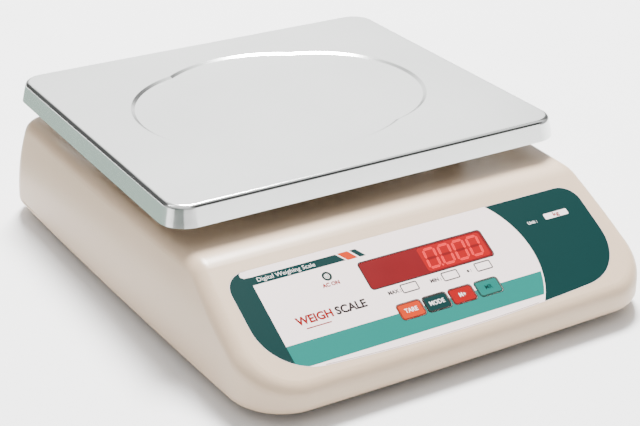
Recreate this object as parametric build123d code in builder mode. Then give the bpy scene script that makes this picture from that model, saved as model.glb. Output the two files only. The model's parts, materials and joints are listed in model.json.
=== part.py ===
"""Tabletop electronic weighing scale with a stainless platter and a sloping LED panel.

Millimetres, +Z up, +X to the operator's right, the operator stands at -Y.
The origin is the centre of the rectangle the scale covers, at floor level.
"""
import os
from math import atan2, cos, degrees, hypot, radians, sin, tan

from build123d import *

# ---------------------------------------------------------------- driving dimensions
# case
case_front_y = -187.0
case_back_y = 185.0
case_front_half_width = 152.4
case_back_half_width = 164.0
case_side_bulge = 2.5
case_end_bow = 1.6
rim_z = 7.0
case_top_z = 74.0
case_lean = 10.0
belly_z = 40.0
belly_shrink = 2.0
front_corner_radius = 38.0
back_corner_radius = 24.0
ridge_radius = 11.0
crease_radius = 25.0
rim_radius = 6.5
rim_lip = 9.5
wall = 2.8

# sloping panel: its plane passes through the display window's upper edge
panel_angle = 28.71
window_top_y = -122.7
window_top_z = 59.45

# clearances shared by many pieces
running_gap = 0.06
screw_clearance = 0.3
bolt_end_gap = 1.0

# screws
screw_radius = 1.5
screw_length = 14.0
screw_head_radius = 2.8
screw_head_height = 2.0
screw_head_chamfer = 0.6
m6_radius = 3.0
mount_bolt_head_radius = 5.0
mount_bolt_head_height = 3.3
support_bolt_head_radius = 5.0
support_bolt_head_height = 6.0

# base plate and feet
base_plate_z = 8.0
base_plate_thickness = 2.0
base_plate_gap = 0.6
boss_radius = 4.0
boss_offsets = ((132.0, -109.0), (136.0, -13.0), (136.0, 157.0))
foot_x = 118.0
foot_front_y = -147.0
foot_back_y = 139.0
foot_radius = 14.0
foot_pad_height = 5.0
foot_chamfer = 1.0
foot_flange_height = 1.5
foot_nut_radius = 7.5
foot_nut_height = 6.5
stem_radius = 4.0
stem_hex_radius = 7.5
stem_top_z = 30.0

# overlay and what shows through it, on the panel: x to the right, s down the slope
overlay_thickness = 0.5
overlay_gap = 0.15
overlay_half_width = 135.5
overlay_top_s = -16.0
overlay_bottom_s = 64.5
overlay_bottom_bow = 7.0
overlay_top_radius = 14.0
overlay_bottom_radius = 37.0
window_centre_x = 0.5
window_width = 94.2
window_height = 20.6
window_radius = 2.0
window_thickness = 1.6
window_ledge = 2.0
window_gap = 0.1
key_width = 17.3
key_height = 11.0
key_radius = 2.0
key_centre_s = 41.5
key_centres_x = {
    "key_tare": -29.4,
    "key_mode": -10.0,
    "key_memory_add": 9.7,
    "key_memory_recall": 30.1,
}
key_gap = 0.3
key_thickness = 4.0
key_chamfer = 0.2
key_tab = 1.2
key_rest_gap = 0.1
key_stem_radius = 2.5
led_x = -70.5
led_s = 2.7
led_radius = 1.5

# display board, hung parallel to the panel
board_thickness = 1.6
board_top_depth = 12.0
board_width = 172.0
board_top_s = -6.0
board_bottom_s = 50.0
board_boss_radius = 3.2
board_screw_radius = 1.25
board_screw_length = 9.0
board_screw_x = 80.0
board_screw_inset = 5.0
digit_pitch = 12.4
digit_count = 6
digits_right_x = 45.4
module_height = 19.0
module_thickness = 8.0
module_gap = 0.2
switch_side = 6.0
switch_height = 3.5
plunger_radius = 1.7
plunger_length = 1.9
plunger_bore = 1.6
plunger_top_depth = 7.5

# platter
platter_y = 55.0
platter_width = 300.0
platter_depth = 257.0
platter_top_z = 101.0
platter_skirt = 14.2
platter_flare = 3.2
platter_sheet = 1.2
platter_corner_radius = 16.0
platter_edge_radius = 3.2
recess_depth = 1.2
recess_step = 2.6
recess_middle_radius = 92.0
recess_side_radius = 78.6
recess_side_x = 32.0

# load cell and the spider that it carries
cell_length = 130.0
cell_width = 30.0
cell_height = 22.0
cell_bottom_z = 30.0
cell_hole_radius = 7.5
cell_hole_spacing = 26.0
cell_slot = 5.0
cell_end = 25.0
cell_bolt_spacing = 15.0
cell_bolt_inset = 8.0
cell_thread_depth = 12.0
mount_width = 40.0
coating_width = 18.0
coating_length = 50.0
coating_radius = 4.0
coating_thickness = 1.5
spacer_height = 7.0
support_height = 10.0
web_thickness = 4.0
arm_width = 22.0
hub_width = 50.0
hub_depth = 150.0
hub_radius = 6.0
pocket_middle = 82.0
pocket_length = 50.0
pocket_width = 14.0
post_x = 100.0
post_y = 72.0
post_radius = 6.0
post_top_z = 92.0
post_hole_radius = 12.0
cap_radius = 10.0
cap_height = 12.0
cap_round = 1.5
stop_gap = 0.6
stop_reach = 67.0
stop_hex_radius = 6.0
stop_body_height = 40.0

# main board
main_board_z = 17.0
main_board_y = -63.0
main_board_width = 130.0
main_board_depth = 84.0
standoff_x = 120.0
standoff_y = 74.0
standoff_radius = 3.2
component_blocks = (
    ((-34.0, -59.0), (26.0, 20.0), 7.0),
    ((8.0, -67.0), (14.0, 14.0), 2.0),
    ((44.0, -85.0), (22.0, 10.0), 20.0),
)
capacitor_place = (44.0, -55.0)
capacitor_radius = 6.5
capacitor_height = 22.0

# transformer
transformer_x = 98.0
transformer_y = 87.0
core_width = 57.0
core_height = 45.0
core_stack = 24.0
core_leg_width = 17.0
core_window_width = 9.5
core_window_height = 28.0
coil_gap = 0.3
coil_depth = 42.0
coil_radius = 3.0

# battery
battery_x = -107.0
battery_y = 55.0
battery_width = 68.0
battery_length = 101.0
battery_height = 47.0
battery_radius = 2.0
terminal_pitch = 50.0
terminal_width = 6.3
terminal_sheet = 0.8
terminal_length = 6.0
terminal_drop = 6.0
strap_width = 18.0
strap_sheet = 1.0
strap_foot = 9.0

# back wall
rear_y = 181.7
rear_z = 36.0
rear_angle = 7.2
rear_land_width = 80.0
rear_land_height = 32.0
rear_land_radius = 3.0
inlet_x = 66.0
inlet_width = 27.4
inlet_height = 19.8
inlet_rim = 2.3
inlet_rim_thickness = 1.8
inlet_depth = 20.0
socket_width = 24.0
socket_height = 16.0
socket_chamfer = 4.5
socket_depth = 15.0
pin_width = 2.0
pin_thickness = 4.0
pin_spread = 7.0
pin_rise = 2.0
pin_setback = 3.0
pin_tail = 7.0
rocker_x = 108.0
rocker_width = 14.0
rocker_height = 20.0
rocker_gap = 0.5
rocker_body_width = 19.0
rocker_body_height = 25.0
rocker_body_depth = 15.0
rocker_rim = 1.5
rocker_rim_thickness = 1.5
rocker_well_depth = 9.0
rocker_throw = 16.0
rocker_face_out = 3.4
rocker_tip_out = 4.2
rocker_tip_up = 9.6
rocker_keel_out = 3.0
rocker_keel_up = 7.5
rocker_keel_depth = 4.5
rocker_pivot_depth = 3.0
pivot_radius = 1.5
pivot_length = 1.2

# ---------------------------------------------------------------- derived values and planes
panel_normal = (0, -sin(radians(panel_angle)), cos(radians(panel_angle)))
panel = Plane(origin=(0, window_top_y, window_top_z), x_dir=(1, 0, 0), z_dir=panel_normal)
crease_y = window_top_y + (case_top_z - window_top_z) / tan(radians(panel_angle))
lean_radius_loss = 0.8 * case_lean
rear_lean = radians(rear_angle)
rear_normal = (0, cos(rear_lean), sin(rear_lean))
rear = Plane(origin=(0, rear_y, rear_z), x_dir=(-1, 0, 0), z_dir=rear_normal)
floor_top_z = base_plate_z + base_plate_thickness
boss_places = [(side * x, y) for x, y in boss_offsets for side in (-1, 1)]
foot_places = {
    "front_left": (-foot_x, foot_front_y),
    "front_right": (foot_x, foot_front_y),
    "back_left": (-foot_x, foot_back_y),
    "back_right": (foot_x, foot_back_y),
}
board_height = board_bottom_s - board_top_s
board_middle_s = (board_bottom_s + board_top_s) / 2
board_screw_places = [
    (side * board_screw_x, -s)
    for side in (-1, 1)
    for s in (board_top_s + board_screw_inset, board_bottom_s - board_screw_inset)
]
digits_middle_x = digits_right_x - digit_count * digit_pitch / 2
cell_top_z = cell_bottom_z + cell_height
cell_free_y = platter_y - cell_length / 2 + cell_bolt_inset
cell_fixed_y = platter_y + cell_length / 2 - cell_bolt_inset
cell_free_places = [(side * cell_bolt_spacing / 2, cell_free_y) for side in (-1, 1)]
cell_fixed_places = [(side * cell_bolt_spacing / 2, cell_fixed_y) for side in (-1, 1)]
support_z = cell_top_z + spacer_height
arm_angle = degrees(atan2(post_y, post_x))
arm_reach = hypot(post_x, post_y)
platter_under_z = platter_top_z - platter_sheet
post_places = [(sx * post_x, platter_y + sy * post_y) for sx in (-1, 1) for sy in (-1, 1)]
stop_places = [
    (x * stop_reach / arm_reach, platter_y + (y - platter_y) * stop_reach / arm_reach) for x, y in post_places
]
core_window_pitch = core_leg_width + core_window_width
coil_width = core_leg_width + 2 * core_window_width - 2 * coil_gap
coil_bottom_z = floor_top_z + (core_height - core_window_height) / 2
pin_places = [
    (-inlet_x - pin_spread, -pin_rise),
    (-inlet_x, pin_rise),
    (-inlet_x + pin_spread, -pin_rise),
]
rocker_pivot = rear.from_local_coords(Vector(-rocker_x, 0, -rocker_pivot_depth))
rocker_tilt = rear_lean + radians(rocker_throw / 2)
rocker_plane = Plane(origin=rocker_pivot, x_dir=(0, cos(rocker_tilt), sin(rocker_tilt)), z_dir=(1, 0, 0))


os.makedirs("parts", exist_ok=True)


def keep(builder, name):
    """Label a finished piece and write it to its own STEP file."""
    builder.part.label = name
    export_step(builder.part, f"parts/{name}.step")


# ---------------------------------------------------------------- case
def case_outline(shrink, radius_loss):
    """Plan of the case: it widens towards the back, and its four sides bow a little."""
    front_x = case_front_half_width - shrink
    back_x = case_back_half_width - shrink
    front_y = case_front_y + shrink
    back_y = case_back_y - shrink
    middle_x = (front_x + back_x) / 2 + case_side_bulge
    middle_y = (front_y + back_y) / 2
    front_left = (-front_x, front_y + case_end_bow)
    front_right = (front_x, front_y + case_end_bow)
    back_left = (-back_x, back_y - case_end_bow)
    back_right = (back_x, back_y - case_end_bow)
    with BuildSketch() as plan:
        with BuildLine():
            ThreePointArc(front_left, (0, front_y), front_right)
            ThreePointArc(front_right, (middle_x, middle_y), back_right)
            ThreePointArc(back_right, (0, back_y), back_left)
            ThreePointArc(back_left, (-middle_x, middle_y), front_left)
        make_face()
        fillet(plan.vertices().sort_by(Axis.Y)[:2], front_corner_radius - radius_loss)
        fillet(plan.vertices().sort_by(Axis.Y)[-2:], back_corner_radius - radius_loss)
    return plan.sketch


def case_form(inset):
    """The wedge of the case as a solid, every face moved inwards by the inset."""
    with BuildPart() as form:
        with BuildSketch(Plane.XY.offset(rim_z)):
            add(case_outline(inset, inset))
        with BuildSketch(Plane.XY.offset(belly_z)):
            add(case_outline(inset + belly_shrink, inset + belly_shrink))
        with BuildSketch(Plane.XY.offset(case_top_z - inset)):
            add(case_outline(inset + case_lean, inset + lean_radius_loss))
        loft()
        split(bisect_by=Plane.XY.offset(rim_z + inset), keep=Keep.TOP)
        split(bisect_by=panel.offset(-inset), keep=Keep.BOTTOM)
        crease = form.faces().sort_by(Axis.Z)[-1].edges().sort_by(Axis.Y)[0]
        fillet(crease, crease_radius)
        fillet(form.edges().filter_by(is_ridge), ridge_radius - inset)
        fillet(form.faces().sort_by(Axis.Z)[0].edges(), rim_radius - inset)
    return form.part


def is_ridge(edge):
    """True for the upper rim of the wedge, and false for its corners, base and crease."""
    middle = edge @ 0.5
    upright = abs((edge % 0.5).Z) > 0.9
    across_crease = abs(middle.X) < 1 and abs(middle.Y - crease_y) < crease_radius
    return middle.Z > rim_z + 2 * wall and not upright and not across_crease


def overlay_outline(gap):
    """The front film: straight top, bowed bottom and large lower corners, grown by the gap."""
    right_x = overlay_half_width + gap
    top_y = -overlay_top_s + gap
    corner_y = -(overlay_bottom_s - overlay_bottom_bow) - gap
    with BuildSketch() as film:
        with BuildLine():
            Polyline((-right_x, corner_y), (-right_x, top_y), (right_x, top_y), (right_x, corner_y))
            ThreePointArc((right_x, corner_y), (0, -overlay_bottom_s - gap), (-right_x, corner_y))
        make_face()
        fillet(film.vertices().sort_by(Axis.Y)[:2], overlay_bottom_radius)
        fillet(film.vertices().sort_by(Axis.Y)[-2:], overlay_top_radius)
    return film.sketch


def key_spots():
    """Places of the four key centres on the panel."""
    return [(x, -key_centre_s) for x in key_centres_x.values()]


with BuildPart() as screw_bosses:
    # cut off halfway through the wall that they grow from
    with BuildSketch(Plane.XY.offset(floor_top_z)):
        with Locations(*boss_places):
            Circle(boss_radius)
    extrude(amount=case_top_z - wall / 2 - floor_top_z)
    split(bisect_by=panel.offset(-wall / 2), keep=Keep.BOTTOM)

with BuildPart() as upper_housing:
    add(case_form(0))
    add(case_form(wall), mode=Mode.SUBTRACT)
    with BuildSketch(Plane.XY.offset(rim_z)):
        add(case_outline(rim_lip, rim_lip))
    extrude(amount=2 * wall, mode=Mode.SUBTRACT)
    add(screw_bosses.part)
    with BuildSketch(Plane.XY.offset(floor_top_z)):
        with Locations(*boss_places):
            Circle(screw_radius)
    extrude(amount=screw_length - base_plate_thickness, mode=Mode.SUBTRACT)
    # four bosses carry the display board
    with BuildSketch(panel.offset(-board_top_depth)):
        with Locations(*board_screw_places):
            Circle(board_boss_radius)
    extrude(amount=board_top_depth - wall / 2)
    with BuildSketch(panel.offset(-board_top_depth)):
        with Locations(*board_screw_places):
            Circle(board_screw_radius)
    extrude(amount=board_screw_length - board_thickness, mode=Mode.SUBTRACT)
    # shallow seat for the film, and what looks through it
    with BuildSketch(panel):
        add(overlay_outline(overlay_gap))
    extrude(amount=-overlay_thickness, mode=Mode.SUBTRACT)
    with BuildSketch(panel):
        with Locations((window_centre_x, -window_height / 2)):
            RectangleRounded(window_width, window_height, window_radius)
    extrude(amount=-window_thickness, mode=Mode.SUBTRACT)
    with BuildSketch(panel):
        with Locations((window_centre_x, -window_height / 2)):
            Rectangle(window_width - 2 * window_ledge, window_height - 2 * window_ledge)
        with Locations(*key_spots()):
            RectangleRounded(key_width + 2 * key_gap, key_height + 2 * key_gap, key_radius + key_gap)
        with Locations((led_x, -led_s)):
            Circle(led_radius + running_gap)
    extrude(amount=-2 * wall, mode=Mode.SUBTRACT)
    # holes in the top for the platter's posts
    with BuildSketch(Plane.XY.offset(case_top_z)):
        with Locations(*post_places):
            Circle(post_hole_radius)
    extrude(amount=-2 * wall, mode=Mode.SUBTRACT)
    # flat land and two cut-outs in the back wall
    with BuildSketch(rear):
        with Locations((-(inlet_x + rocker_x) / 2, 0)):
            RectangleRounded(rear_land_width, rear_land_height, rear_land_radius)
    extrude(amount=case_lean, mode=Mode.SUBTRACT)
    with BuildSketch(rear):
        with Locations((-inlet_x, 0)):
            Rectangle(inlet_width, inlet_height)
        with Locations((-rocker_x, 0)):
            Rectangle(rocker_body_width, rocker_body_height)
    extrude(amount=-3 * wall, mode=Mode.SUBTRACT)
keep(upper_housing, "upper_housing")


# ---------------------------------------------------------------- base plate and feet
with BuildPart() as base_plate:
    with BuildSketch(Plane.XY.offset(base_plate_z)):
        add(case_outline(rim_lip + base_plate_gap, rim_lip + base_plate_gap))
        with Locations(*foot_places.values()):
            Circle(stem_radius + running_gap, mode=Mode.SUBTRACT)
        with Locations(*boss_places):
            Circle(screw_radius + screw_clearance, mode=Mode.SUBTRACT)
        with Locations(*cell_fixed_places):
            Circle(m6_radius + screw_clearance, mode=Mode.SUBTRACT)
    extrude(amount=base_plate_thickness)
keep(base_plate, "base_plate")

with BuildPart() as housing_screws:
    with BuildSketch(Plane.XY.offset(base_plate_z)):
        with Locations(*boss_places):
            Circle(screw_radius)
    extrude(amount=screw_length)
    with BuildSketch(Plane.XY.offset(base_plate_z)):
        with Locations(*boss_places):
            Circle(screw_head_radius)
    extrude(amount=-screw_head_height)
    chamfer(housing_screws.faces().group_by(Axis.Z)[0].edges(), screw_head_chamfer)
keep(housing_screws, "housing_screws")


def make_foot(name, place):
    """One levelling foot: a rubber pad and the threaded stem that stands in it."""
    with BuildPart() as pad:
        with BuildSketch():
            with Locations(place):
                Circle(foot_radius)
        extrude(amount=foot_pad_height)
        chamfer(pad.edges().group_by(Axis.Z)[0], foot_chamfer)
        with BuildSketch(Plane.XY.offset(foot_pad_height)):
            with Locations(place):
                Circle(stem_radius)
        extrude(amount=-foot_pad_height / 2, mode=Mode.SUBTRACT)
    keep(pad, f"foot_{name}_pad")
    with BuildPart() as stem:
        with BuildSketch(Plane.XY.offset(foot_pad_height / 2)):
            with Locations(place):
                Circle(stem_radius)
        extrude(amount=stem_top_z - foot_pad_height / 2)
        with BuildSketch(Plane.XY.offset(foot_pad_height)):
            with Locations(place):
                RegularPolygon(stem_hex_radius, 6)
        extrude(amount=foot_flange_height)
    keep(stem, f"foot_{name}_stem")


for foot_name, foot_place in foot_places.items():
    make_foot(foot_name, foot_place)

with BuildPart() as foot_nuts:
    with BuildSketch(Plane.XY.offset(floor_top_z)):
        with Locations(*foot_places.values()):
            RegularPolygon(foot_nut_radius, 6)
            Circle(stem_radius + running_gap, mode=Mode.SUBTRACT)
    extrude(amount=foot_nut_height)
keep(foot_nuts, "foot_nuts")


# ---------------------------------------------------------------- front panel
with BuildPart() as panel_overlay:
    with BuildSketch(panel.offset(-overlay_thickness)):
        add(overlay_outline(0))
        with Locations((window_centre_x, -window_height / 2)):
            RectangleRounded(window_width, window_height, window_radius, mode=Mode.SUBTRACT)
        with Locations(*key_spots()):
            RectangleRounded(
                key_width + 2 * key_gap, key_height + 2 * key_gap, key_radius + key_gap, mode=Mode.SUBTRACT
            )
        with Locations((led_x, -led_s)):
            Circle(led_radius + running_gap, mode=Mode.SUBTRACT)
    extrude(amount=overlay_thickness)
keep(panel_overlay, "panel_overlay")

with BuildPart() as display_window:
    with BuildSketch(panel.offset(-window_thickness)):
        with Locations((window_centre_x, -window_height / 2)):
            RectangleRounded(window_width - 2 * window_gap, window_height - 2 * window_gap, window_radius)
    extrude(amount=window_thickness)
keep(display_window, "display_window")


def make_key(name, x):
    """A key with tabs that hold it behind the wall, and the switch plunger that it presses."""
    with BuildPart() as key:
        with BuildSketch(panel.offset(-key_thickness)):
            with Locations((x, -key_centre_s)):
                RectangleRounded(key_width, key_height, key_radius)
        extrude(amount=key_thickness)
        chamfer(key.faces().sort_by(Axis.Z)[-1].edges(), key_chamfer)
        with BuildSketch(panel.offset(-key_thickness)):
            with Locations((x, -key_centre_s)):
                Rectangle(key_width - 2 * key_radius, key_height + 2 * key_tab)
        extrude(amount=key_thickness - wall - key_rest_gap)
        with BuildSketch(panel.offset(-key_thickness)):
            with Locations((x, -key_centre_s)):
                Circle(key_stem_radius)
        extrude(amount=-(plunger_top_depth - key_thickness))
    keep(key, name)
    with BuildPart() as plunger:
        with BuildSketch(panel.offset(-plunger_top_depth)):
            with Locations((x, -key_centre_s)):
                Circle(plunger_radius)
        extrude(amount=-plunger_length)
    keep(plunger, name.replace("key_", "plunger_"))


for key_name, key_x in key_centres_x.items():
    make_key(key_name, key_x)

with BuildPart() as display_board:
    with BuildSketch(panel.offset(-board_top_depth)):
        with Locations((0, -board_middle_s)):
            Rectangle(board_width, board_height)
        with Locations(*board_screw_places):
            Circle(board_screw_radius + screw_clearance, mode=Mode.SUBTRACT)
    extrude(amount=-board_thickness)
keep(display_board, "display_board")

with BuildPart() as display_modules:
    with BuildSketch(panel.offset(-board_top_depth)):
        with Locations((digits_middle_x, -window_height / 2)):
            with GridLocations(2 * digit_pitch, module_height, digit_count // 2, 1):
                Rectangle(2 * digit_pitch - module_gap, module_height)
    extrude(amount=module_thickness)
keep(display_modules, "display_modules")

with BuildPart() as key_switches:
    with BuildSketch(panel.offset(-board_top_depth)):
        with Locations(*key_spots()):
            Rectangle(switch_side, switch_side)
    extrude(amount=switch_height)
    with BuildSketch(panel.offset(-board_top_depth + switch_height)):
        with Locations(*key_spots()):
            Circle(plunger_radius + running_gap)
    extrude(amount=-plunger_bore, mode=Mode.SUBTRACT)
keep(key_switches, "key_switches")

with BuildPart() as ac_on_led:
    with BuildSketch(panel.offset(-board_top_depth)):
        with Locations((led_x, -led_s)):
            Circle(led_radius)
    extrude(amount=board_top_depth)
    fillet(ac_on_led.edges().sort_by(Axis.Z)[-1], led_radius / 2)
keep(ac_on_led, "ac_on_led")

with BuildPart() as display_board_screws:
    with BuildSketch(panel.offset(-board_top_depth - board_thickness)):
        with Locations(*board_screw_places):
            Circle(board_screw_radius)
    extrude(amount=board_screw_length)
    with BuildSketch(panel.offset(-board_top_depth - board_thickness)):
        with Locations(*board_screw_places):
            Circle(screw_head_radius)
    extrude(amount=-screw_head_height)
keep(display_board_screws, "display_board_screws")


# ---------------------------------------------------------------- weighing mechanism
with BuildPart() as load_cell:
    with BuildSketch(Plane.YZ.offset(-cell_width / 2)):
        with Locations((platter_y, cell_bottom_z + cell_height / 2)):
            Rectangle(cell_length, cell_height)
            with GridLocations(cell_hole_spacing, cell_height, 2, 1):
                Circle(cell_hole_radius, mode=Mode.SUBTRACT)
            Rectangle(cell_hole_spacing, cell_slot, mode=Mode.SUBTRACT)
    extrude(amount=cell_width)
    with BuildSketch(Plane.XY.offset(cell_top_z)):
        with Locations(*cell_free_places):
            Circle(m6_radius)
    extrude(amount=-cell_thread_depth, mode=Mode.SUBTRACT)
    with BuildSketch(Plane.XY.offset(cell_bottom_z)):
        with Locations(*cell_fixed_places):
            Circle(m6_radius)
    extrude(amount=cell_thread_depth, mode=Mode.SUBTRACT)
keep(load_cell, "load_cell")

with BuildPart() as gauge_coating:
    # soft sealant over the strain gauges, above the two bores
    with BuildSketch(Plane.XY.offset(cell_top_z)):
        with Locations((0, platter_y)):
            RectangleRounded(coating_width, coating_length, coating_radius)
    extrude(amount=coating_thickness)
keep(gauge_coating, "gauge_coating")

with BuildPart() as cell_mount:
    with BuildSketch(Plane.XY.offset(floor_top_z)):
        with Locations((0, cell_fixed_y + cell_bolt_inset - cell_end / 2)):
            Rectangle(mount_width, cell_end)
        with Locations(*cell_fixed_places):
            Circle(m6_radius + screw_clearance, mode=Mode.SUBTRACT)
    extrude(amount=cell_bottom_z - floor_top_z)
keep(cell_mount, "cell_mount")

with BuildPart() as cell_mount_bolts:
    with BuildSketch(Plane.XY.offset(base_plate_z)):
        with Locations(*cell_fixed_places):
            Circle(m6_radius)
    extrude(amount=cell_bottom_z - base_plate_z + cell_thread_depth - bolt_end_gap)
    with BuildSketch(Plane.XY.offset(base_plate_z)):
        with Locations(*cell_fixed_places):
            Circle(mount_bolt_head_radius)
    extrude(amount=-mount_bolt_head_height)
keep(cell_mount_bolts, "cell_mount_bolts")

with BuildPart() as cell_spacer:
    with BuildSketch(Plane.XY.offset(cell_top_z)):
        with Locations((0, cell_free_y - cell_bolt_inset + cell_end / 2)):
            Rectangle(cell_width, cell_end)
        with Locations(*cell_free_places):
            Circle(m6_radius + screw_clearance, mode=Mode.SUBTRACT)
    extrude(amount=spacer_height)
keep(cell_spacer, "cell_spacer")

with BuildPart() as platter_support:
    # cast spider: a plate over the load cell, and an arm to each post
    with BuildSketch(Plane.XY.offset(support_z)):
        with Locations((0, platter_y)):
            RectangleRounded(hub_width, hub_depth, hub_radius)
            for arm_turn in (arm_angle, -arm_angle):
                with Locations(Rotation(0, 0, arm_turn)):
                    SlotCenterToCenter(2 * arm_reach, arm_width)
    extrude(amount=support_height)
    # ribs stay along the edges, and the web between them is thinner
    with BuildSketch(Plane.XY.offset(support_z)):
        with Locations((0, platter_y)):
            for arm_turn in (arm_angle, -arm_angle):
                with Locations(Rotation(0, 0, arm_turn)):
                    with GridLocations(2 * pocket_middle, 1, 2, 1):
                        SlotOverall(pocket_length, pocket_width)
    extrude(amount=support_height - web_thickness, mode=Mode.SUBTRACT)
    with Locations(*[(x, y, support_z + support_height) for x, y in cell_free_places]):
        CounterBoreHole(
            radius=m6_radius + screw_clearance,
            counter_bore_radius=support_bolt_head_radius + screw_clearance,
            counter_bore_depth=support_bolt_head_height,
        )
keep(platter_support, "platter_support")

with BuildPart() as support_bolts:
    with BuildSketch(Plane.XY.offset(support_z + support_height - support_bolt_head_height)):
        with Locations(*cell_free_places):
            Circle(support_bolt_head_radius)
    extrude(amount=support_bolt_head_height)
    with BuildSketch(Plane.XY.offset(cell_top_z - cell_thread_depth + bolt_end_gap)):
        with Locations(*cell_free_places):
            Circle(m6_radius)
    extrude(amount=cell_thread_depth - bolt_end_gap + spacer_height + support_height - support_bolt_head_height)
keep(support_bolts, "support_bolts")

with BuildPart() as support_posts:
    with BuildSketch(Plane.XY.offset(support_z + support_height)):
        with Locations(*post_places):
            Circle(post_radius)
    extrude(amount=post_top_z - support_z - support_height)
keep(support_posts, "support_posts")

with BuildPart() as rubber_caps:
    with BuildSketch(Plane.XY.offset(platter_under_z - cap_height)):
        with Locations(*post_places):
            Circle(cap_radius)
    extrude(amount=cap_height)
    fillet(rubber_caps.edges().group_by(Axis.Z)[-1], cap_round)
    with BuildSketch(Plane.XY.offset(platter_under_z - cap_height)):
        with Locations(*post_places):
            Circle(post_radius)
    extrude(amount=post_top_z - platter_under_z + cap_height, mode=Mode.SUBTRACT)
keep(rubber_caps, "rubber_caps")

with BuildPart() as overload_stops:
    with BuildSketch(Plane.XY.offset(floor_top_z)):
        with Locations(*stop_places):
            RegularPolygon(stop_hex_radius, 6)
    extrude(amount=stop_body_height)
    with BuildSketch(Plane.XY.offset(floor_top_z + stop_body_height)):
        with Locations(*stop_places):
            Circle(m6_radius)
    extrude(amount=support_z - stop_gap - floor_top_z - stop_body_height)
keep(overload_stops, "overload_stops")


# ---------------------------------------------------------------- platter
def recess_sketch(growth):
    """Plan of the pressed field: a middle circle joined by one on each side."""
    with BuildSketch() as field:
        with Locations((0, platter_y)):
            Circle(recess_middle_radius + growth)
            with GridLocations(2 * recess_side_x, 1, 2, 1):
                Circle(recess_side_radius + growth)
    return field.sketch


def recess_form(top_z, growth):
    """A shallow dish the depth of the recess, with sloping sides."""
    with BuildPart() as dish:
        with BuildSketch(Plane.XY.offset(top_z)):
            add(recess_sketch(growth))
        with BuildSketch(Plane.XY.offset(top_z - recess_depth)):
            add(recess_sketch(growth - recess_step))
        loft(ruled=True)
    return dish.part


def pan_form(top_z, inset):
    """The pan as a solid with flaring sides and a rolled upper edge, moved inwards by the inset."""
    with BuildPart() as form:
        for z, growth in ((top_z, 0), (platter_top_z - platter_skirt, platter_flare)):
            with BuildSketch(Plane.XY.offset(z)):
                with Locations((0, platter_y)):
                    RectangleRounded(
                        platter_width + 2 * (growth - inset),
                        platter_depth + 2 * (growth - inset),
                        platter_corner_radius + growth - inset,
                    )
        loft(ruled=True)
        fillet(form.faces().sort_by(Axis.Z)[-1].edges(), platter_edge_radius - inset)
    return form.part


with BuildPart() as platter:
    add(pan_form(platter_top_z, 0))
    add(pan_form(platter_under_z, platter_sheet), mode=Mode.SUBTRACT)
    add(recess_form(platter_under_z, platter_sheet))
    add(recess_form(platter_top_z, 0), mode=Mode.SUBTRACT)
keep(platter, "platter")


# ---------------------------------------------------------------- electrics
with BuildPart() as main_board:
    with BuildSketch(Plane.XY.offset(main_board_z)):
        with Locations((0, main_board_y)):
            Rectangle(main_board_width, main_board_depth)
            with GridLocations(standoff_x, standoff_y, 2, 2):
                Circle(screw_radius + screw_clearance, mode=Mode.SUBTRACT)
    extrude(amount=board_thickness)
keep(main_board, "main_board")

with BuildPart() as board_standoffs:
    with BuildSketch(Plane.XY.offset(floor_top_z)):
        with Locations((0, main_board_y)):
            with GridLocations(standoff_x, standoff_y, 2, 2):
                RegularPolygon(standoff_radius, 6)
    extrude(amount=main_board_z - floor_top_z)
keep(board_standoffs, "board_standoffs")

with BuildPart() as board_screws:
    with BuildSketch(Plane.XY.offset(main_board_z)):
        with Locations((0, main_board_y)):
            with GridLocations(standoff_x, standoff_y, 2, 2):
                Circle(screw_radius)
    extrude(amount=board_thickness)
    with BuildSketch(Plane.XY.offset(main_board_z + board_thickness)):
        with Locations((0, main_board_y)):
            with GridLocations(standoff_x, standoff_y, 2, 2):
                Circle(screw_head_radius)
    extrude(amount=screw_head_height)
keep(board_screws, "board_screws")

with BuildPart() as board_components:
    # converter can, processor, regulator's heat sink and a capacitor
    top = Plane.XY.offset(main_board_z + board_thickness)
    for place, size, height in component_blocks:
        with BuildSketch(top):
            with Locations(place):
                Rectangle(*size)
        extrude(amount=height)
    with BuildSketch(top):
        with Locations(capacitor_place):
            Circle(capacitor_radius)
    extrude(amount=capacitor_height)
keep(board_components, "board_components")

with BuildPart() as transformer_core:
    with BuildSketch(Plane.XZ.offset(-transformer_y - core_stack / 2)):
        with Locations((transformer_x, floor_top_z + core_height / 2)):
            Rectangle(core_width, core_height)
            with GridLocations(core_window_pitch, 1, 2, 1):
                Rectangle(core_window_width, core_window_height, mode=Mode.SUBTRACT)
    extrude(amount=core_stack)
keep(transformer_core, "transformer_core")

with BuildPart() as transformer_coil:
    with BuildSketch(Plane.XY.offset(coil_bottom_z)):
        with Locations((transformer_x, transformer_y)):
            RectangleRounded(coil_width, coil_depth, coil_radius)
            Rectangle(core_leg_width, core_stack, mode=Mode.SUBTRACT)
    extrude(amount=core_window_height)
keep(transformer_coil, "transformer_coil")

with BuildPart() as battery:
    with BuildSketch(Plane.XY.offset(floor_top_z)):
        with Locations((battery_x, battery_y)):
            RectangleRounded(battery_width, battery_length, battery_radius)
    extrude(amount=battery_height)
keep(battery, "battery")

with BuildPart() as battery_terminals:
    with BuildSketch(Plane.XZ.offset(-battery_y - battery_length / 2)):
        with Locations((battery_x, floor_top_z + battery_height - terminal_drop)):
            with GridLocations(terminal_pitch, 1, 2, 1):
                Rectangle(terminal_width, terminal_sheet)
    extrude(amount=-terminal_length)
keep(battery_terminals, "battery_terminals")

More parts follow.
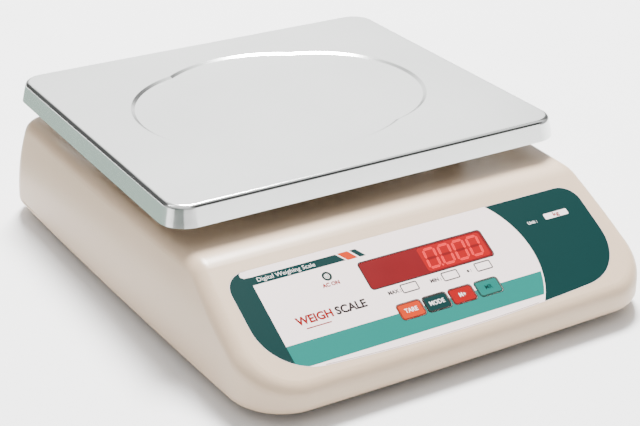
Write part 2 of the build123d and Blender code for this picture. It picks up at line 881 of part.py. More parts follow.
with BuildPart() as battery_strap:
    # steel band over the battery, with a foot on each side
    with BuildSketch(Plane.XZ.offset(-battery_y - strap_width / 2)):
        with Locations((battery_x, floor_top_z)):
            Rectangle(
                battery_width + 2 * strap_sheet, battery_height + strap_sheet, align=(Align.CENTER, Align.MIN)
            )
            Rectangle(battery_width, battery_height, align=(Align.CENTER, Align.MIN), mode=Mode.SUBTRACT)
            with GridLocations(battery_width + 2 * strap_sheet + strap_foot, 1, 2, 1):
                Rectangle(strap_foot, strap_sheet, align=(Align.CENTER, Align.MIN))
    extrude(amount=strap_width)
keep(battery_strap, "battery_strap")


# ---------------------------------------------------------------- back wall
with BuildPart() as inlet_socket:
    with BuildSketch(rear):
        with Locations((-inlet_x, 0)):
            RectangleRounded(inlet_width + 2 * inlet_rim, inlet_height + 2 * inlet_rim, inlet_rim)
    extrude(amount=inlet_rim_thickness)
    with BuildSketch(rear):
        with Locations((-inlet_x, 0)):
            Rectangle(inlet_width, inlet_height)
    extrude(amount=-inlet_depth)
    with BuildSketch(rear.offset(inlet_rim_thickness)) as cavity:
        with Locations((-inlet_x, 0)):
            Rectangle(socket_width, socket_height)
        chamfer(cavity.vertices().group_by(Axis.Y)[-1], socket_chamfer)
    extrude(amount=-socket_depth - inlet_rim_thickness, mode=Mode.SUBTRACT)
    with BuildSketch(rear.offset(-socket_depth)):
        with Locations(*pin_places):
            Rectangle(pin_width, pin_thickness)
    extrude(amount=socket_depth - inlet_depth, mode=Mode.SUBTRACT)
keep(inlet_socket, "inlet_socket")

with BuildPart() as inlet_pins:
    with BuildSketch(rear.offset(-inlet_depth - pin_tail)):
        with Locations(*pin_places):
            Rectangle(pin_width, pin_thickness)
    extrude(amount=inlet_depth + pin_tail - pin_setback)
keep(inlet_pins, "inlet_pins")

with BuildPart() as switch_housing:
    with BuildSketch(rear):
        with Locations((-rocker_x, 0)):
            RectangleRounded(
                rocker_body_width + 2 * rocker_rim, rocker_body_height + 2 * rocker_rim, rocker_rim / 2
            )
    extrude(amount=rocker_rim_thickness)
    with BuildSketch(rear):
        with Locations((-rocker_x, 0)):
            Rectangle(rocker_body_width, rocker_body_height)
    extrude(amount=-rocker_body_depth)
    with BuildSketch(rear.offset(rocker_rim_thickness)):
        with Locations((-rocker_x, 0)):
            Rectangle(rocker_width + 2 * rocker_gap, rocker_height + 2 * rocker_gap)
    extrude(amount=-rocker_well_depth - rocker_rim_thickness, mode=Mode.SUBTRACT)
    with BuildSketch(rocker_plane):
        Circle(pivot_radius + running_gap)
    extrude(amount=rocker_width / 2 + pivot_length, both=True, mode=Mode.SUBTRACT)
keep(switch_housing, "switch_housing")

with BuildPart() as power_rocker:
    # its face is two flats that meet in a shallow V, with one half pressed in
    with BuildSketch(rocker_plane):
        with BuildLine():
            Polyline(
                (rocker_face_out, 0),
                (rocker_tip_out, rocker_tip_up),
                (-rocker_keel_out, rocker_keel_up),
                (-rocker_keel_depth, 0),
            )
            mirror(about=Plane.XZ)
        make_face()
    extrude(amount=rocker_width / 2, both=True)
    with BuildSketch(rocker_plane):
        Circle(pivot_radius)
    extrude(amount=rocker_width / 2 + pivot_length - running_gap, both=True)
keep(power_rocker, "power_rocker")
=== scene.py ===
"""Looks for a tabletop weighing scale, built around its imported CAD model."""
import json
import math

import bpy
from mathutils import Matrix, Vector


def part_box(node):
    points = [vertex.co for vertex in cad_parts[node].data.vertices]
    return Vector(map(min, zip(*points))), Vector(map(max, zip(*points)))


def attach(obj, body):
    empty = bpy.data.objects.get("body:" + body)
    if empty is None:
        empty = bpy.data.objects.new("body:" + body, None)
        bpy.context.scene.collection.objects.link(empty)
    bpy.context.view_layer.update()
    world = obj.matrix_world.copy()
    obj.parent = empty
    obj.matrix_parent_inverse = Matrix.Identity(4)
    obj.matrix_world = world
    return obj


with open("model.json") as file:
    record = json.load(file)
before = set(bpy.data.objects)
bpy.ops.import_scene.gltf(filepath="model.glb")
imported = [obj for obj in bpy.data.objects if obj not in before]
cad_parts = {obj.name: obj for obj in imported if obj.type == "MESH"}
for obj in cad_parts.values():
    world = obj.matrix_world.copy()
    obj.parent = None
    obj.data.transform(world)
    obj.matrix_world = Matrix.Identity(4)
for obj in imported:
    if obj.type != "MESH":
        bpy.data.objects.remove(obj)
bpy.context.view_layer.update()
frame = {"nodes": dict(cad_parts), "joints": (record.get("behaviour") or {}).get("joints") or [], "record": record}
MM = 0.001


# ---------------------------------------------------------------- camera, floor and light
CAMERA_AZIMUTH, CAMERA_ELEVATION, CAMERA_ROLL = -30.45, 26.056, 0.367  # degrees
CAMERA_TARGET = (-0.08474, -0.10642, 0.101)
CAMERA_DISTANCE = 0.93136
CAMERA_LENS, CAMERA_SENSOR = 85.41, 36  # mm
CAMERA_SHIFT_X, CAMERA_SHIFT_Y = 0.0433, -0.0083


def make_camera():
    """Camera at the photograph's viewing angle."""
    azimuth, elevation, roll = (
        math.radians(angle) for angle in (CAMERA_AZIMUTH, CAMERA_ELEVATION, CAMERA_ROLL)
    )
    back = Vector((
        math.sin(azimuth) * math.cos(elevation),
        -math.cos(azimuth) * math.cos(elevation),
        math.sin(elevation),
    ))
    level = Vector((math.cos(azimuth), math.sin(azimuth), 0))
    rise = back.cross(level)
    right = level * math.cos(roll) + rise * math.sin(roll)
    up = rise * math.cos(roll) - level * math.sin(roll)
    place = Vector(CAMERA_TARGET) + back * CAMERA_DISTANCE
    camera = bpy.data.objects.new("camera", bpy.data.cameras.new("camera"))
    camera.matrix_world = Matrix((
        (right.x, up.x, back.x, place.x),
        (right.y, up.y, back.y, place.y),
        (right.z, up.z, back.z, place.z),
        (0, 0, 0, 1),
    ))
    camera.data.sensor_width = CAMERA_SENSOR
    camera.data.lens = CAMERA_LENS
    camera.data.shift_x = CAMERA_SHIFT_X
    camera.data.shift_y = CAMERA_SHIFT_Y
    camera.data.clip_start = 0.01
    camera.data.clip_end = 50
    bpy.context.collection.objects.link(camera)
    bpy.context.scene.camera = camera


def add_light(name, place, aim, width, height, watts):
    """A rectangular soft light."""
    lamp = bpy.data.lights.new(name, "AREA")
    lamp.shape = "RECTANGLE"
    lamp.size = width
    lamp.size_y = height
    lamp.energy = watts
    holder = bpy.data.objects.new(name, lamp)
    holder.location = place
    holder.rotation_mode = "QUATERNION"
    holder.rotation_quaternion = (Vector(aim) - Vector(place)).to_track_quat("-Z", "Y")
    bpy.context.collection.objects.link(holder)


WORLD_LEVEL = 4.2
# grey of the surround by height, from 0 straight down to 1 straight up
SURROUND_STOPS = ((0.0, 0.40), (0.48, 0.30), (0.54, 0.14), (0.70, 0.17), (0.88, 0.30), (1.0, 0.34))
# patches of another grey: direction, cosine where each starts to fade in, cosine where it is full, grey
PATCHES = (
    ((0.455, 0.774, 0.439), 0.90, 1.0, 0.72),
    ((0.80, 0.42, 0.42), 0.93, 0.975, 0.05),
    ((-0.50, 0.77, 0.38), 0.80, 0.93, 0.03),
    ((0.455, -0.60, 0.62), 0.88, 0.95, 0.02),
    ((-0.86, -0.51, 0.02), 0.86, 0.95, 0.03),
)


def make_world():
    """Studio surround, dimmest just above the horizon, with the patches that polished steel reflects."""
    world = bpy.data.worlds.new("studio")
    bpy.context.scene.world = world
    world.use_nodes = True
    nodes, links = world.node_tree.nodes, world.node_tree.links
    nodes.clear()
    out = nodes.new("ShaderNodeOutputWorld")
    background = nodes.new("ShaderNodeBackground")
    background.inputs["Strength"].default_value = WORLD_LEVEL
    coordinates = nodes.new("ShaderNodeTexCoord")
    split = nodes.new("ShaderNodeSeparateXYZ")
    ramp = nodes.new("ShaderNodeValToRGB")
    shift = nodes.new("ShaderNodeMath")
    shift.operation = "MULTIPLY_ADD"
    shift.inputs[1].default_value = 0.5
    shift.inputs[2].default_value = 0.5
    links.new(coordinates.outputs["Generated"], split.inputs[0])
    links.new(split.outputs["Z"], shift.inputs[0])
    links.new(shift.outputs[0], ramp.inputs[0])
    stops = ramp.color_ramp.elements
    stops[0].position, stops[1].position = SURROUND_STOPS[0][0], SURROUND_STOPS[-1][0]
    for position, _ in SURROUND_STOPS[1:-1]:
        stops.new(position)
    for stop, (_, grey) in zip(stops, SURROUND_STOPS):
        stop.color = (grey, grey, grey, 1)
    colour = ramp.outputs["Color"]
    for direction, start, full, grey in PATCHES:
        dot = nodes.new("ShaderNodeVectorMath")
        dot.operation = "DOT_PRODUCT"
        dot.inputs[1].default_value = Vector(direction).normalized()
        fade = nodes.new("ShaderNodeMapRange")
        fade.interpolation_type = "SMOOTHSTEP"
        fade.inputs["From Min"].default_value = start
        fade.inputs["From Max"].default_value = full
        mix = nodes.new("ShaderNodeMix")
        mix.data_type = "RGBA"
        mix.inputs["B"].default_value = (grey, grey, grey, 1)
        links.new(coordinates.outputs["Generated"], dot.inputs[0])
        links.new(dot.outputs["Value"], fade.inputs["Value"])
        links.new(fade.outputs["Result"], mix.inputs["Factor"])
        links.new(colour, mix.inputs["A"])
        colour = mix.outputs["Result"]
    links.new(colour, background.inputs["Color"])
    links.new(background.outputs[0], out.inputs[0])


FLOOR_HALF = 4.0


def flat_sheet(name, corners, material):
    """A four-cornered sheet with one finish."""
    mesh = bpy.data.meshes.new(name)
    mesh.from_pydata(corners, [], [(0, 1, 2, 3)])
    mesh.materials.append(material)
    sheet = bpy.data.objects.new(name, mesh)
    bpy.context.collection.objects.link(sheet)
    return sheet


def make_floor():
    """Plain pale floor, far larger than the object."""
    corners = [(x * FLOOR_HALF, y * FLOOR_HALF, 0) for x, y in ((-1, -1), (1, -1), (1, 1), (-1, 1))]
    paint = surface("floor_paint", (0.84, 0.84, 0.84), rough=0.6, mottle=0.01, bump=0.0)
    floor = flat_sheet("floor", corners, paint)


def add_flag(name, corners, colour):
    """A grey card beside the object that shows only in its polished edges."""
    flag = flat_sheet(name, corners, surface(f"{name}_cloth", colour, rough=0.9, mottle=0.1, bump=0.2))
    flag.visible_camera = False
    flag.visible_diffuse = False
    flag.visible_shadow = False


# ---------------------------------------------------------------- materials
def linear(*display):
    """Turn 0-255 display values into linear colour by the sRGB curve."""
    values = (value / 255 for value in display)
    return tuple(v / 12.92 if v <= 0.04045 else ((v + 0.055) / 1.055) ** 2.4 for v in values)


def surface(
    name, colour, rough, metal=0.0, mottle=0.06, broad=14.0, grain=400.0,
    bump=0.05, bump_mm=0.05, coat=0.0, specular=0.5, rough_spread=0.2,
):
    """A procedural finish: two scales of colour variation, uneven gloss and a fine surface texture."""
    material = bpy.data.materials.new(name)
    material.use_nodes = True
    nodes, links = material.node_tree.nodes, material.node_tree.links
    shader = nodes["Principled BSDF"]
    shader.inputs["Metallic"].default_value = metal
    shader.inputs["Coat Weight"].default_value = coat
    shader.inputs["Coat Roughness"].default_value = 0.1
    shader.inputs["Specular IOR Level"].default_value = specular
    where = nodes.new("ShaderNodeTexCoord")
    patches = nodes.new("ShaderNodeTexNoise")
    patches.inputs["Scale"].default_value = broad
    patches.inputs["Detail"].default_value = 4.0
    fine = nodes.new("ShaderNodeTexNoise")
    fine.inputs["Scale"].default_value = grain
    fine.inputs["Detail"].default_value = 3.0
    for noise in (patches, fine):
        links.new(where.outputs["Object"], noise.inputs["Vector"])
    tint = nodes.new("ShaderNodeValToRGB")
    tint.color_ramp.elements[0].position = 0.3
    tint.color_ramp.elements[1].position = 0.7
    tint.color_ramp.elements[0].color = (*(c * (1 - mottle) for c in colour), 1)
    tint.color_ramp.elements[1].color = (*(min(1.0, c * (1 + mottle)) for c in colour), 1)
    both = nodes.new("ShaderNodeMix")
    both.inputs["Factor"].default_value = 0.3
    links.new(patches.outputs["Fac"], both.inputs["A"])
    links.new(fine.outputs["Fac"], both.inputs["B"])
    links.new(both.outputs["Result"], tint.inputs["Fac"])
    links.new(tint.outputs["Color"], shader.inputs["Base Color"])
    gloss = nodes.new("ShaderNodeMapRange")
    gloss.inputs["To Min"].default_value = rough * (1 - rough_spread)
    gloss.inputs["To Max"].default_value = rough * (1 + rough_spread)
    links.new(patches.outputs["Fac"], gloss.inputs["Value"])
    links.new(gloss.outputs["Result"], shader.inputs["Roughness"])
    if bump > 0:
        relief = nodes.new("ShaderNodeBump")
        relief.inputs["Strength"].default_value = bump
        relief.inputs["Distance"].default_value = bump_mm * MM
        links.new(fine.outputs["Fac"], relief.inputs["Height"])
        links.new(relief.outputs["Normal"], shader.inputs["Normal"])
    return material


# the finish of each material slot of the record, except those of the keys
FINISHES = {
    "case_plastic": dict(colour=(0.57, 0.425, 0.295), rough=0.33, mottle=0.02, grain=900, bump=0.12),
    # bright pressed sheet: nearly a mirror, with faint waves and handling marks
    "stainless": dict(
        colour=linear(226, 228, 226), rough=0.16, metal=1.0, mottle=0.03, grain=60,
        bump=0.05, bump_mm=0.15, broad=9.0, rough_spread=0.3,
    ),
    "overlay_film": dict(
        colour=(0.82, 0.70, 0.68), rough=0.45, specular=0.25, mottle=0.012, grain=1500, bump=0.1,
    ),
    "red_window": dict(
        colour=(0.125, 0.003, 0.005), rough=0.35, specular=0.1, mottle=0.10, grain=50, bump=0.0,
    ),
    "led_green": dict(colour=linear(190, 200, 190), rough=0.15, mottle=0.05, coat=0.5),
    "rubber": dict(colour=linear(40, 40, 42), rough=0.75, mottle=0.2, grain=700, bump=0.3),
    "zinc_steel": dict(colour=linear(190, 190, 184), rough=0.32, metal=1.0, mottle=0.12, grain=350),
    "painted_steel": dict(colour=linear(120, 120, 118), rough=0.5, mottle=0.06, grain=500, bump=0.25),
    "aluminium": dict(colour=linear(205, 206, 208), rough=0.3, metal=1.0, mottle=0.06, grain=250),
    "cast_aluminium": dict(
        colour=linear(165, 167, 168), rough=0.5, metal=1.0, mottle=0.12, grain=450, bump=0.5,
    ),
    "circuit_board": dict(colour=linear(22, 96, 54), rough=0.35, mottle=0.15, grain=300),
    "black_plastic": dict(colour=linear(30, 30, 32), rough=0.45, mottle=0.15, grain=800, bump=0.2),
    "sealant": dict(colour=linear(225, 225, 218), rough=0.6, mottle=0.05, grain=200, bump=0.3),
    "laminations": dict(colour=linear(70, 70, 74), rough=0.5, metal=0.8, mottle=0.2, grain=600, bump=0.4),
    "coil_tape": dict(colour=linear(214, 186, 70), rough=0.35, mottle=0.08, grain=300),
    "battery_case": dict(colour=linear(48, 50, 54), rough=0.5, mottle=0.12, grain=500, bump=0.2),
    "brass": dict(colour=linear(205, 172, 104), rough=0.3, metal=1.0, mottle=0.1, grain=300),
}
# colour and mottle of each key's plastic, of each printing ink, and of the painted shade along the film's lower
# edge
DARK_TEAL = (0.001, 0.021, 0.020)
KEY_COLOURS = {
    "key_orange": ((0.41, 0.026, 0.001), 0.03),
    "key_dark_teal": (DARK_TEAL, 0.05),
    "key_red": ((0.24, 0.001, 0.002), 0.03),
    "key_light_teal": ((0.003, 0.115, 0.095), 0.03),
}
INK_COLOURS = {
    "ink_dark_teal": (DARK_TEAL, 0.05),
    "ink_light_teal": ((0.004, 0.130, 0.108), 0.03),
    "ink_orange": ((0.41, 0.027, 0.001), 0.03),
    "ink_red": ((0.20, 0.006, 0.006), 0.03),
    "ink_white": ((0.82, 0.80, 0.78), 0.02),
    "ink_dark": ((0.020, 0.014, 0.014), 0.05),
    # painted shade: the film's colour darkened, drawn as a line along the film's lower edge to darken the seam
    "seam_shade_paint": ((0.30, 0.20, 0.17), 0.05),
    "ink_film": ((0.82, 0.72, 0.71), 0.015),
    "ink_ring": ((0.010, 0.022, 0.020), 0.05),
    "ink_border": ((0.030, 0.018, 0.015), 0.05),
}
# colour of each lit or unlit part of the display, colour of its light and strength
GLOWS = {
    "window_glow": ((0.22, 0.001, 0.002), (1.0, 0.0, 0.01), 0.12),
    "lit_segment": ((0.30, 0.008, 0.010), (1.0, 0.03, 0.035), 1.0),
    "unlit_segment": ((0.12, 0.002, 0.003), (1.0, 0.0, 0.01), 0.05),
}


def glowing(name, colour, light, strength):
    """Red plastic lit from behind, a little uneven across its area."""
    material = surface(name, colour, rough=0.4, specular=0.08, mottle=0.12, grain=300, bump=0.0)
    shader = material.node_tree.nodes["Principled BSDF"]
    shader.inputs["Emission Color"].default_value = (*light, 1)
    shader.inputs["Emission Strength"].default_value = strength
    return material


def make_materials():
    """Every finish by name: the record's material slots, the printing, the painted seam shade and the display."""
    made = {name: surface(name, **look) for name, look in FINISHES.items()}
    for name, (colour, mottle) in KEY_COLOURS.items():
        made[name] = surface(name, colour, rough=0.55, specular=0.05, mottle=mottle, grain=900)
    for name, (colour, mottle) in INK_COLOURS.items():
        made[name] = surface(name, colour, rough=0.55, specular=0.05, mottle=mottle, grain=900, bump=0.08)
    for name, (colour, light, strength) in GLOWS.items():
        made[name] = glowing(name, colour, light, strength)
    return made


def paint_cad_nodes(finishes):
    """Give every CAD node the finish of its material slot."""
    for entry in frame["record"]["subparts"]:
        node = frame["nodes"][entry["node"]]
        node.data.materials.clear()
        node.data.materials.append(finishes[entry["material_slot"]])


# ---------------------------------------------------------------- the panel's own coordinates
FILM_THICK = 0.5
FILM_TOP = -16.0  # the film's top edge, in mm down the slope from the panel's origin


def panel_matrix():
    """Frame on the film's surface: x right, y up the slope, z out, origin near the window's upper edge."""
    press = next(j for j in frame["joints"] if j["name"] == "key_tare_press")
    out = -Vector(press["axis"])
    rise = out.cross(Vector((1, 0, 0)))
    low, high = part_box("panel_overlay")
    top_edge = Vector(((low[0] + high[0]) / 2, high[1] + out.y * FILM_THICK * MM, high[2]))
    origin = top_edge + rise * FILM_TOP * MM
    return Matrix((
        (1, rise.x, out.x, origin.x),
        (0, rise.y, out.y, origin.y),
        (0, rise.z, out.z, origin.z),
        (0, 0, 0, 1),
    ))


# thickness of a layer of ink, and one unit of level in what is printed over it
INK = 0.03


def finish_piece(source, name, material, body):
    """Turn a curve or text laid out on the panel into a mesh piece that rides on a body."""
    bpy.context.collection.objects.link(source)
    bpy.context.view_layer.update()
    mesh = bpy.data.meshes.new_from_object(source.evaluated_get(bpy.context.evaluated_depsgraph_get()))
    mesh.transform(source.matrix_world)
    bpy.data.objects.remove(source)
    mesh.materials.clear()
    mesh.materials.append(finishes[material])
    mesh.name = name
    piece = bpy.data.objects.new(name, mesh)
    bpy.context.collection.objects.link(piece)
    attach(piece, body)


def printed(name, loops, material, level=0, body="case"):
    """A flat area of ink on the panel. Each loop is a list of (x, s) in mm; loops inside others are holes."""
    curve = bpy.data.curves.new(name, "CURVE")
    curve.dimensions = "2D"
    curve.fill_mode = "BOTH"
    curve.extrude = INK * MM / 2
    for loop in loops:
        spline = curve.splines.new("POLY")
        spline.points.add(len(loop) - 1)
        for point, (x, s) in zip(spline.points, loop):
            point.co = (x * MM, -s * MM, 0, 1)
        spline.use_cyclic_u = True
    source = bpy.data.objects.new(name, curve)
    source.matrix_world = PANEL @ Matrix.Translation((0, 0, (level + 0.5) * INK * MM))
    finish_piece(source, name, material, body)


# height of a capital, as a share of the font's size
CAPITAL = 0.69


def lettered(
    name, words, x, s, height, material,
    level=0, body="case", weight=0.0, squeeze=1.0,
):
    """Words printed on the panel, centred at (x, s), with capitals of that height in mm.

    weight thickens the strokes, and squeeze scales the width.
    """
    text = bpy.data.curves.new(name, "FONT")
    text.body = words
    text.align_x = "CENTER"
    text.align_y = "CENTER"
    text.size = height * MM / CAPITAL
    text.extrude = INK * MM / 2
    text.offset = weight * MM
    text.resolution_u = 3
    source = bpy.data.objects.new(name, text)
    lift = Matrix.Translation((x * MM, -s * MM, (level + 0.5) * INK * MM))
    source.matrix_world = PANEL @ lift @ Matrix.Diagonal((squeeze, 1, 1, 1))
    finish_piece(source, name, material, body)


def rounded(x, s, width, height, radius, steps=6):
    """Loop of a rounded rectangle centred at (x, s)."""
    points = []
    for quarter, (sx, ss) in enumerate(((1, 1), (-1, 1), (-1, -1), (1, -1))):
        for step in range(steps + 1):
            angle = math.pi / 2 * (quarter + step / steps)
            points.append((
                x + sx * (width / 2 - radius) + radius * math.cos(angle),
                s + ss * (height / 2 - radius) + radius * math.sin(angle),
            ))
    return points


def ring(x, s, radius, steps=40):
    """Loop of a circle."""
    turn = 2 * math.pi / steps
    return [(x + radius * math.cos(turn * k), s + radius * math.sin(turn * k)) for k in range(steps)]


def clipped(loop, side):
    """The part of a loop where side(x, s) is positive, cut along straight lines."""
    kept = []
    for (x0, s0), (x1, s1) in zip(loop, loop[1:] + loop[:1]):
        a, b = side(x0, s0), side(x1, s1)
        if a >= 0:
            kept.append((x0, s0))
        if (a >= 0) != (b >= 0):
            t = a / (a - b)
            kept.append((x0 + (x1 - x0) * t, s0 + (s1 - s0) * t))
    return kept


# the film's outline, as it is cut
FILM_X = 135.5
FILM_BOTTOM = 64.5
FILM_BOW = 7.0
FILM_TOP_RADIUS = 14.0
FILM_LOW_RADIUS = 37.0


def film_outline(inset=0.25):
    """Loop just inside the film's edge: straight top and sides, bowed bottom, round corners."""
    half = FILM_X - inset
    points = []
    steps = 16
    for step in range(steps + 1):
        angle = math.pi / 2 * step / steps
        points.append((
            half - FILM_TOP_RADIUS * (1 - math.sin(angle)),
            FILM_TOP + inset + FILM_TOP_RADIUS * (1 - math.cos(angle)),
        ))
    # the lower corners are tangent to the side and to the bowed bottom edge
    bow_radius = (FILM_X ** 2 + FILM_BOW ** 2) / (2 * FILM_BOW)
    bow_centre = FILM_BOTTOM - bow_radius
    corner_x = FILM_X - FILM_LOW_RADIUS
    corner_s = bow_centre + math.sqrt((bow_radius - FILM_LOW_RADIUS) ** 2 - corner_x ** 2)
    last = math.atan2(corner_s - bow_centre, corner_x)
    radius = FILM_LOW_RADIUS - inset
    for step in range(steps + 1):
        angle = last * step / steps
        points.append((corner_x + radius * math.cos(angle), corner_s + radius * math.sin(angle)))
    for step in range(1, steps + 1):
        angle = last + (math.pi / 2 - last) * step / steps
        points.append((
            (bow_radius - inset) * math.cos(angle),
            bow_centre + (bow_radius - inset) * math.sin(angle),
        ))
    mirrored = [(-x, s) for x, s in reversed(points)]
    return points + mirrored[1:]


# ---------------------------------------------------------------- artwork
# the large arc between the pale and the dark part of the film, and the edge of the dark stripe at its left
ARC_X, ARC_S, ARC_RADIUS = 14.2, 23.2, 61.5
ARC_GAP = 0.5
STRIPE_X = -119.3
# each key's node and body, its place along the row, its legend and the colours of the key and the legend
KEYS = (
    ("key_tare", -29.4, "TARE", "key_orange", "ink_white"),
    ("key_mode", -10.0, "MODE", "key_dark_teal", "ink_white"),
    ("key_memory_add", 9.7, "M+", "key_red", "ink_white"),
    ("key_memory_recall", 30.1, "MR", "key_light_teal", "ink_dark_teal"),
)
KEY_S, KEY_W, KEY_H, KEY_R = 41.5, 17.3, 11.0, 2.0
LEGEND_HEIGHT = 3.0
# the reading: its first digit's lower left corner, the step between digits, and their size
ZERO = ("top", "bottom", "upper_left", "upper_right", "lower_left", "lower_right")
DIGITS = 4
DIGIT_X, DIGIT_S = -0.4, 17.2
DIGIT_PITCH = 11.3
DIGIT_HEIGHT = 14.0
DIGIT_LEAN = 0.12
POINT_BEFORE, POINT_RADIUS = 1.9, 0.8
# the window, and the part of it that the modules light from behind
WINDOW_X, WINDOW_S, WINDOW_W, WINDOW_H, WINDOW_R = 0.5, 10.3, 94.9, 21.3, 2.3
GLOW_X, GLOW_W, GLOW_H = 21.4, 48.8, 18.4
# printed boxes under the window: the word before each and the box's place along the row
BOXES = (("max", -21.8, "MAX :"), ("min", 9.5, "MIN :"), ("step", 35.4, "e :"))
BOX_S, BOX_W, BOX_H = 26.0, 11.8, 6.0
# title strip with its slanted tabs
STRIP_TOP, STRIP_BOTTOM = -10.6, -4.7
TAB_TOP, TAB_BOTTOM = -10.8, -4.4
LAMP_X, LAMP_S = -70.5, 2.7
NAME_S, NAME_HEIGHT = 28.0, 5.4
UNIT_X, UNIT_S = 109.8, 3.8
BAND_BOTTOM = 58.0


def arc_edge(radius, top_s, bottom_s, steps=40):
    """Points down the large arc from one height to another."""
    first = math.asin((top_s - ARC_S) / radius)
    last = math.asin((bottom_s - ARC_S) / radius)
    turns = (first + (last - first) * k / steps for k in range(steps + 1))
    return [(ARC_X + radius * math.cos(t), ARC_S + radius * math.sin(t)) for t in turns]


def right_field():
    """Dark area to the right of the arc, out to the film's edge."""
    radius = ARC_RADIUS + ARC_GAP
    outside = [
        (x, s) for x, s in film_outline() if x > ARC_X and math.hypot(x - ARC_X, s - ARC_S) > radius
    ]
    top_s, bottom_s = outside[0][1], outside[-1][1]
    return outside + arc_edge(radius, top_s, bottom_s)[::-1]


def band(top_s, bottom_s):
    """Level area across the film, from the left stripe to the arc."""
    outline = clipped(film_outline(), lambda x, s: s - top_s)
    outline = clipped(outline, lambda x, s: bottom_s - s)
    outline = clipped(outline, lambda x, s: x - STRIPE_X)
    left = [p for p in outline if p[0] < ARC_X]
    # the loop runs down the arc, then on from the lowest point at the left
    lowest = max(range(len(left)), key=lambda k: left[k][1] + left[k][0] * 0.001)
    left = left[lowest:] + left[:lowest]
    return arc_edge(ARC_RADIUS - ARC_GAP, top_s, bottom_s, steps=14) + left


def frame_line(x, s, width, height, radius, line):
    """Two loops that bound a thin line round a rounded rectangle."""
    return [
        rounded(x, s, width + line, height + line, radius + line / 2),
        rounded(x, s, width - line, height - line, max(radius - line / 2, 0.1)),
    ]


def digit_bars(x, s, height, lean, bars):
    """Loops for the given bars of one seven-bar digit whose lower left corner is at (x, s)."""
    width, thick, gap = height * 0.56, height * 0.13, height * 0.02
    half = height / 2
    # centre of each bar, up from the corner, and whether it lies level
    centres = {
        "top": (width / 2, height, True),
        "middle": (width / 2, half, True),
        "bottom": (width / 2, 0, True),
        "upper_left": (0, half * 1.5, False),
        "upper_right": (width, half * 1.5, False),
        "lower_left": (0, half * 0.5, False),
        "lower_right": (width, half * 0.5, False),
    }
    loops = []
    for bar in bars:
        cx, cy, level = centres[bar]
        reach = (width if level else half) / 2 - gap
        t = thick / 2
        corners = (
            (-reach, 0), (-reach + t, t), (reach - t, t),
            (reach, 0), (reach - t, -t), (-reach + t, -t),
        )
        shape = corners if level else tuple((v, u) for u, v in corners)
        loops.append([(x + cx + u + (cy + v) * lean, s - (cy + v)) for u, v in shape])
    return loops


def draw_display():
    """Four lit zeros and a point, and the glow of the modules behind the red window."""
    glow = rounded(GLOW_X, WINDOW_S, GLOW_W, GLOW_H, 2.0)
    printed("window_glow", [glow], "window_glow")
    for place in range(DIGITS):
        x = DIGIT_X + DIGIT_PITCH * place
        lit = digit_bars(x, DIGIT_S, DIGIT_HEIGHT, DIGIT_LEAN, ZERO)
        unlit = digit_bars(x, DIGIT_S, DIGIT_HEIGHT, DIGIT_LEAN, ("middle",))
        printed(f"digit_{place + 1}", lit, "lit_segment", level=1)
        printed(f"digit_{place + 1}_rest", unlit, "unlit_segment", level=1)
    point = ring(DIGIT_X + DIGIT_PITCH - POINT_BEFORE, DIGIT_S, POINT_RADIUS, 16)
    printed("digit_point", [point], "lit_segment", level=1)


def draw_keys():
    """Legends and thin borders, which ride on the keys."""
    for key, x, word, key_slot, ink in KEYS:
        border = frame_line(x, KEY_S, KEY_W - 0.8, KEY_H - 0.8, KEY_R - 0.4, 0.35)
        printed(f"{key}_border", border, "ink_border", body=key)
        lettered(
            f"{key}_legend", word, x, KEY_S, LEGEND_HEIGHT, ink,
            body=key, weight=0.06, squeeze=0.92,
        )


def draw_title():
    """Dark stripe, title strip and slanted tabs at the upper left."""
    stripe = clipped(film_outline(), lambda x, s: STRIPE_X - x)
    printed("print_left_stripe", [stripe], "ink_dark_teal")
    notch = [
        (-124.4, -14.6), (-123.0, -15.6), (-118.9, -15.6),
        (-118.9, -10.8), (-122.6, -10.8), (-124.4, -12.4),
    ]
    printed("print_notch", [notch], "ink_film", level=1)
    strip = [(STRIPE_X, STRIP_TOP), (-57.5, STRIP_TOP), (-52.6, STRIP_BOTTOM), (STRIPE_X, STRIP_BOTTOM)]
    printed("print_title_strip", [strip], "ink_dark_teal")
    orange_tab = [(-56.2, TAB_TOP), (-48.6, TAB_TOP), (-43.8, TAB_BOTTOM), (-51.2, TAB_BOTTOM)]
    printed("print_orange_tab", [orange_tab], "ink_orange")
    small_tab = [(-47.0, TAB_TOP), (-42.6, TAB_TOP), (-37.8, TAB_BOTTOM), (-42.2, TAB_BOTTOM)]
    printed("print_small_tab", [small_tab], "ink_dark_teal")
    strip_s = (STRIP_TOP + STRIP_BOTTOM) / 2
    lettered(
        "print_title", "Digital Weighing Scale", -94.5, strip_s, 2.9, "ink_white",
        level=1, weight=-0.03, squeeze=1.1,
    )


def draw_left_part():
    """Lamp ring and its word, and the two generic words over a plain rule."""
    lamp_ring = [ring(LAMP_X, LAMP_S, 3.4), ring(LAMP_X, LAMP_S, 1.9)]
    printed("print_lamp_ring", lamp_ring, "ink_ring")
    lettered("print_lamp_word", "AC ON", LAMP_X, LAMP_S + 6.2, 2.6, "ink_red", weight=0.18)
    lettered("print_word_left", "WEIGH", -92.2, NAME_S, NAME_HEIGHT, "ink_red", weight=0.3)
    lettered("print_word_right", "SCALE", -66.4, NAME_S, NAME_HEIGHT, "ink_dark", weight=0.3)
    rule = [(-101.0, 33.3), (-83.4, 33.3), (-83.4, 34.1), (-101.0, 34.1)]
    printed("print_underline", [rule], "ink_red")


def draw_window_surround():
    """Dark line round the window, and the empty boxes under it with their words."""
    window_line = frame_line(WINDOW_X, WINDOW_S, WINDOW_W, WINDOW_H, WINDOW_R, 0.75)
    printed("print_window_line", window_line, "ink_dark")
    for name, x, word in BOXES:
        printed(f"print_{name}_box", frame_line(x, BOX_S, BOX_W, BOX_H, 0.8, 0.8), "ink_dark")
        lettered(f"print_{name}_word", word, x - BOX_W + 0.2, BOX_S + 0.4, 2.5, "ink_dark", weight=0.16)


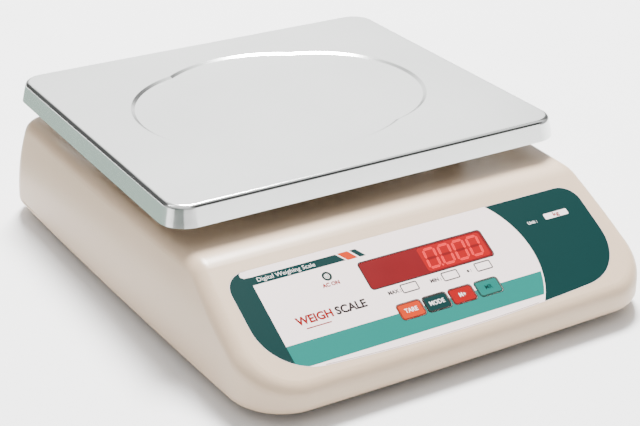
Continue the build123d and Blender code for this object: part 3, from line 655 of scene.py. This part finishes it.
def draw_right_part():
    """Dark field right of the arc, with the unit's word and pale box."""
    printed("print_right_field", [right_field()], "ink_dark_teal")
    lettered("print_unit_word", "Unit :", 89.0, UNIT_S + 1.4, 2.4, "ink_white", level=1, weight=0.03)
    printed("print_unit_box", [rounded(UNIT_X, UNIT_S, 19.5, 4.6, 0.8)], "ink_film", level=1)
    lettered(
        "print_unit", "kg", UNIT_X, UNIT_S - 0.3, 3.0, "ink_red", level=2, weight=0.12, squeeze=1.3,
    )


def draw_band():
    """Light teal band, cut away round the keys, the line round each key, and a line of painted shade along the
    film's lower edge, where the seam is.
    """
    around_keys = [rounded(x, KEY_S, KEY_W + 1.5, KEY_H + 1.5, KEY_R + 0.75) for _, x, *_ in KEYS]
    holes = [clipped(loop, lambda x, s: s - KEY_S - 0.01) for loop in around_keys]
    printed("print_band", [band(KEY_S, BAND_BOTTOM), *holes], "ink_light_teal")
    for (_, x, *_), outer in zip(KEYS, around_keys):
        inner = rounded(x, KEY_S, KEY_W + 0.7, KEY_H + 0.7, KEY_R + 0.35)
        printed(f"print_key_edge_{round(x + 40)}", [outer, inner], "ink_dark", level=1)
    # painted shade: a brown line just inside the film's lower edge darkens the seam there
    foot = sorted((x, s) for x, s in film_outline() if s > 60.0 and -118.0 < x < 62.0)
    seam_shade_loop = [(x, s - 0.25) for x, s in foot] + [(x, s - 0.6) for x, s in reversed(foot)]
    printed("painted_seam_shade_line", [seam_shade_loop], "seam_shade_paint")


make_camera()
PANEL = panel_matrix()
finishes = make_materials()
paint_cad_nodes(finishes)
make_world()
make_floor()
add_flag(
    "left_flag",
    [(-0.34, -0.10, 0.002), (-1.3, 0.2, 0.002), (-0.60, 1.10, 0.002), (-0.06, 0.62, 0.002)],
    (0.11, 0.15, 0.13),
)
add_flag(
    "corner_flag",
    [(-1.10, -0.40, 0.0), (-0.66, -0.96, 0.0), (-0.66, -0.96, 0.5), (-1.10, -0.40, 0.5)],
    (0.03, 0.04, 0.035),
)
add_light("overhead", (1.05, 1.70, 3.8), (0, 0, 0.08), width=1.2, height=1.2, watts=900)
add_light("front_fill", (1.0, -1.95, 0.32), (0, 0, 0.05), width=1.4, height=0.5, watts=5)
add_light("ridge_streak", (-0.80, 0.24, 1.10), (-0.13, -0.12, 0.06), width=0.04, height=0.6, watts=1.4)
draw_title()
draw_left_part()
draw_window_surround()
draw_right_part()
draw_band()
draw_display()
draw_keys()
